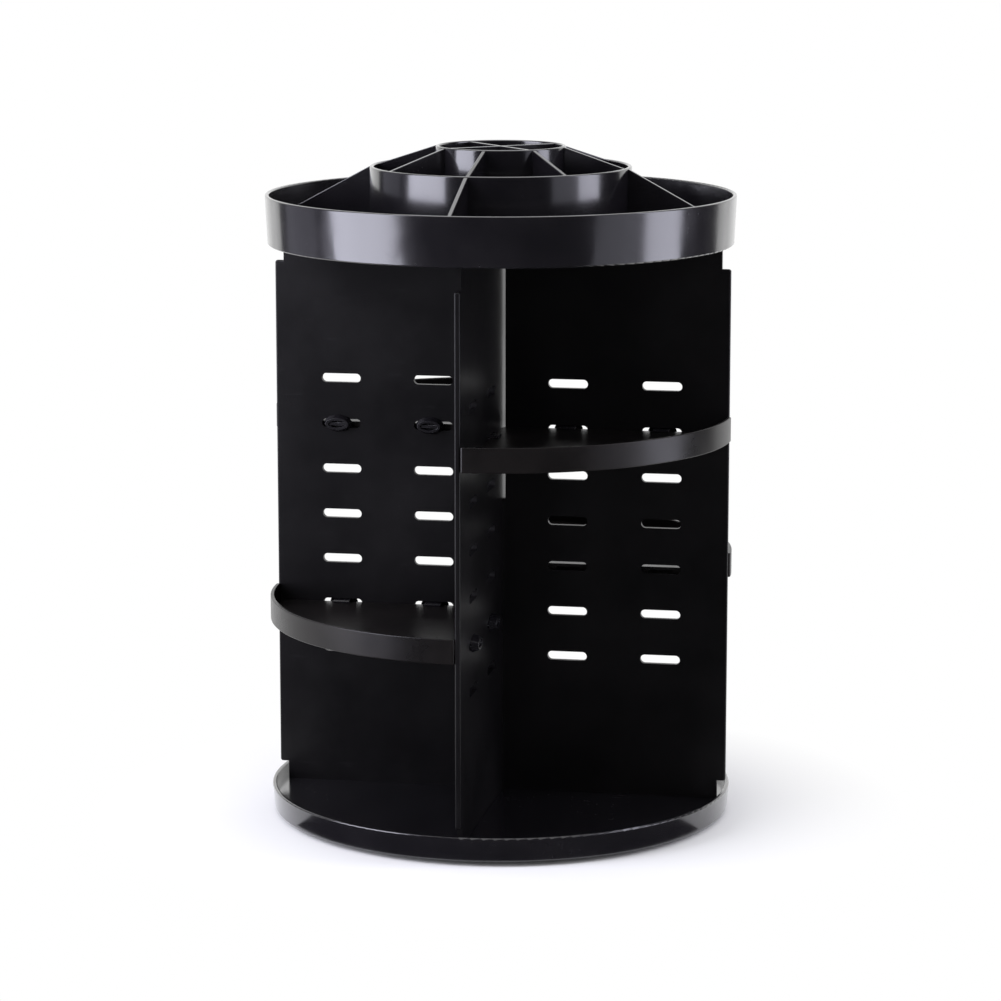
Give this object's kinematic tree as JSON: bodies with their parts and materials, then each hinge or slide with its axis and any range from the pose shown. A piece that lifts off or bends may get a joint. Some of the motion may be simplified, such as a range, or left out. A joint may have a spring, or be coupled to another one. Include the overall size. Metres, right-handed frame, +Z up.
{
  "type": "rotating makeup organizer",
  "caption": "Round turntable vanity organizer: slotted cross panels carry adjustable quarter-round trays between a rimmed base and a tiered, divided top tray.",
  "frame": {"origin": "centre of the rubber pads' resting plane, on the turning axis", "axes": "+Z up along the turning axis; the panels stand along X and Y; -Y is the front"},
  "size_m": [0.2272, 0.2272, 0.3272],
  "materials": {
    "body_black": "glossy injection-moulded black plastic",
    "panel_black": "satin moulded black plastic sheet",
    "tray_black": "glossy injection-moulded black plastic",
    "clip_black": "satin moulded black plastic",
    "underside_black": "fine matt texture",
    "pad_rubber": "matt",
    "cage_nylon": "natural nylon",
    "ball_steel": "polished steel",
    "screw_steel": "zinc plated"
  },
  "bodies": {
    "foot": {"foot_disc": "underside_black", "foot_pads": "pad_rubber"},
    "cage": {"ball_cage": "cage_nylon", "bearing_balls": "ball_steel"},
    "carousel": {"pivot_screw": "screw_steel", "pivot_washer": "screw_steel", "base_tray": "body_black", "side_panel": "panel_black", "front_panel": "panel_black", "tray_back_right": "tray_black", "clips_back_right": "clip_black", "tray_back_left": "tray_black", "clips_back_left": "clip_black", "tray_front_left": "tray_black", "clips_front_left": "clip_black", "tray_front_right": "tray_black", "clips_front_right": "clip_black"},
    "top": {"top_tray": "body_black", "outer_dividers": "body_black", "middle_ring": "body_black", "middle_dividers": "body_black", "centre_ring": "body_black", "centre_cross": "body_black"}
  },
  "joints": [
    {"name": "base_spin", "type": "hinge", "parent": "foot", "child": "carousel", "pos_m": [0, 0, 0.0043], "axis": [0, 0, 1], "continuous": true},
    {"name": "cage_roll", "type": "hinge", "parent": "foot", "child": "cage", "pos_m": [0, 0, 0.0043], "axis": [0, 0, 1], "continuous": true},
    {"name": "top_lift", "type": "slide", "parent": "carousel", "child": "top", "axis": [0, 0, 1], "range_m": [0, 0.04]}
  ],
  "couplings": [
    {"joint": "cage_roll", "follows": "base_spin", "ratio": 0.5}
  ]
}
